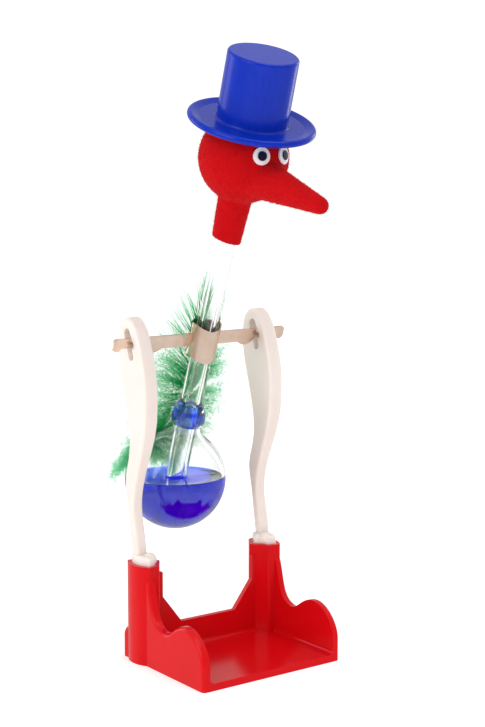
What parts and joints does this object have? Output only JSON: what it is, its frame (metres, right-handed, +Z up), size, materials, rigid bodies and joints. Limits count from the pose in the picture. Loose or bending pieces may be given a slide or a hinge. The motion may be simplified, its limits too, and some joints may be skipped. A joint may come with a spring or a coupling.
{
  "type": "drinking bird",
  "caption": "Desk toy bird that rocks on a stand: glass tube and bulb with dyed liquid, felt head and beak, plastic top hat, green feather, clamp axle on two legs and a tray base.",
  "frame": {"origin": "centre of the base's underside, on the surface it stands on", "axes": "+Z up, +X along the axle, the beak points to -Y"},
  "size_m": [0.0564, 0.088, 0.1648],
  "materials": {
    "base_plastic": "gloss",
    "leg_plastic": "satin",
    "clamp_metal": "satin",
    "clear_glass": "gloss",
    "liquid": "gloss",
    "red_felt": "matte",
    "beak_plastic": "matte",
    "eye_white": "satin",
    "eye_black": "gloss",
    "hat_plastic": "gloss",
    "quill": "satin",
    "feather": "matte"
  },
  "bodies": {
    "stand": {"base_tray": "base_plastic", "left_leg": "leg_plastic", "right_leg": "leg_plastic"},
    "bird": {"pivot_front_leaf": "clamp_metal", "pivot_back_leaf": "clamp_metal", "stem_tube": "clear_glass", "lower_bulb": "clear_glass", "seal_ring": "clear_glass", "head_bulb": "clear_glass", "dyed_liquid": "liquid", "felt_head_cover": "red_felt", "felt_neck_sleeve": "red_felt", "felt_beak_cover": "red_felt", "beak_core": "beak_plastic", "left_eye_white": "eye_white", "right_eye_white": "eye_white", "left_pupil": "eye_black", "right_pupil": "eye_black", "top_hat": "hat_plastic", "feather_quill": "quill", "feather_vane": "feather", "feather_down": "feather"}
  },
  "joints": [
    {"name": "bird_swing", "type": "hinge", "parent": "stand", "child": "bird", "pos_m": [0, 0.014, 0.0859], "axis": [1, 0, 0], "range_deg": [-35, 70]}
  ]
}
